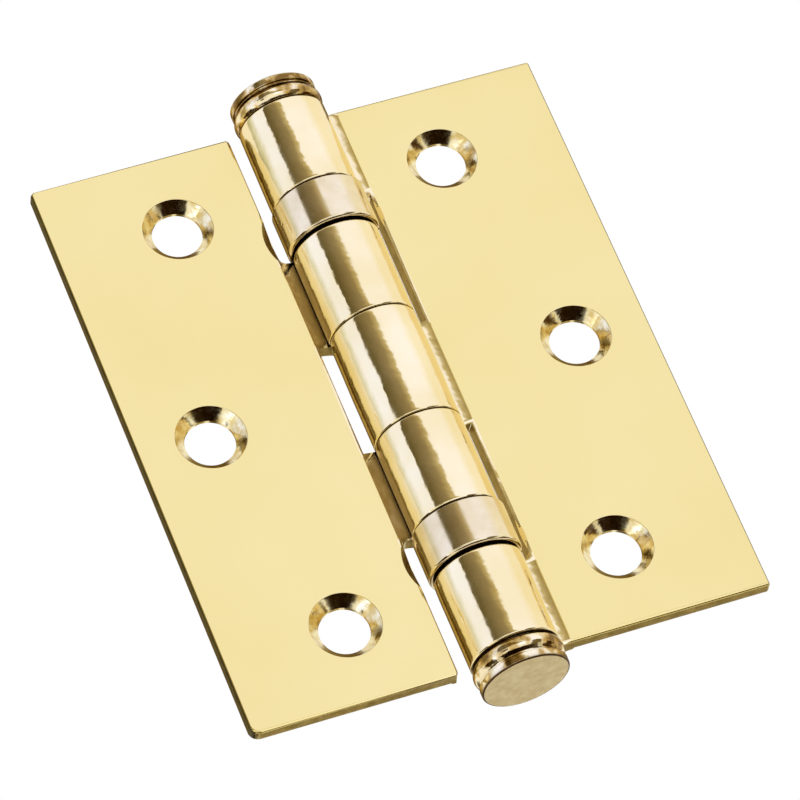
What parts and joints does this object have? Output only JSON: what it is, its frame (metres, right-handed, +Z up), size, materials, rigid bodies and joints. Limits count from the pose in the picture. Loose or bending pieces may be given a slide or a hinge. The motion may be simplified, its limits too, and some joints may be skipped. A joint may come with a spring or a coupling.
{
  "type": "door hinge",
  "caption": "Ball-bearing butt hinge in polished brass: two countersunk leaves on interleaved knuckles, with a turned tip at each end of the pin.",
  "frame": {"origin": "on the pin's axis at mid-height", "axes": "+Z up the pin; the frame leaf reaches along +X and the door leaf along -X; the countersunk faces look along -Y"},
  "size_m": [0.063, 0.0114, 0.083],
  "materials": {
    "leaf_brass": "polished",
    "tip_brass": "satin, cast and turned",
    "shell_brass": "bright, finely pitted",
    "pin_steel": "ground",
    "bearing_steel": "polished, hardened",
    "cage_brass": "pressed"
  },
  "bodies": {
    "frame_side": {"frame_leaf": "leaf_brass", "hinge_pin": "pin_steel", "top_tip": "tip_brass", "bottom_tip": "tip_brass", "upper_bearing_shell": "shell_brass", "upper_bearing_top_race": "bearing_steel", "lower_bearing_bottom_race": "bearing_steel"},
    "door_side": {"door_leaf": "leaf_brass", "upper_bearing_bottom_race": "bearing_steel", "lower_bearing_shell": "shell_brass", "lower_bearing_top_race": "bearing_steel"},
    "upper_ball_ring": {"upper_ball_cage": "cage_brass", "upper_balls": "bearing_steel"},
    "lower_ball_ring": {"lower_ball_cage": "cage_brass", "lower_balls": "bearing_steel"}
  },
  "joints": [
    {"name": "door_swing", "type": "hinge", "parent": "frame_side", "child": "door_side", "pos_m": [0, 0, 0], "axis": [0, 0, 1], "range_deg": [-135, 180]},
    {"name": "upper_ball_orbit", "type": "hinge", "parent": "frame_side", "child": "upper_ball_ring", "pos_m": [0, 0, 0.023], "axis": [0, 0, 1], "range_deg": [-67.5, 90]},
    {"name": "lower_ball_orbit", "type": "hinge", "parent": "frame_side", "child": "lower_ball_ring", "pos_m": [0, 0, -0.023], "axis": [0, 0, 1], "range_deg": [-67.5, 90]}
  ],
  "couplings": [
    {"joint": "upper_ball_orbit", "follows": "door_swing", "ratio": 0.5},
    {"joint": "lower_ball_orbit", "follows": "door_swing", "ratio": 0.5}
  ]
}
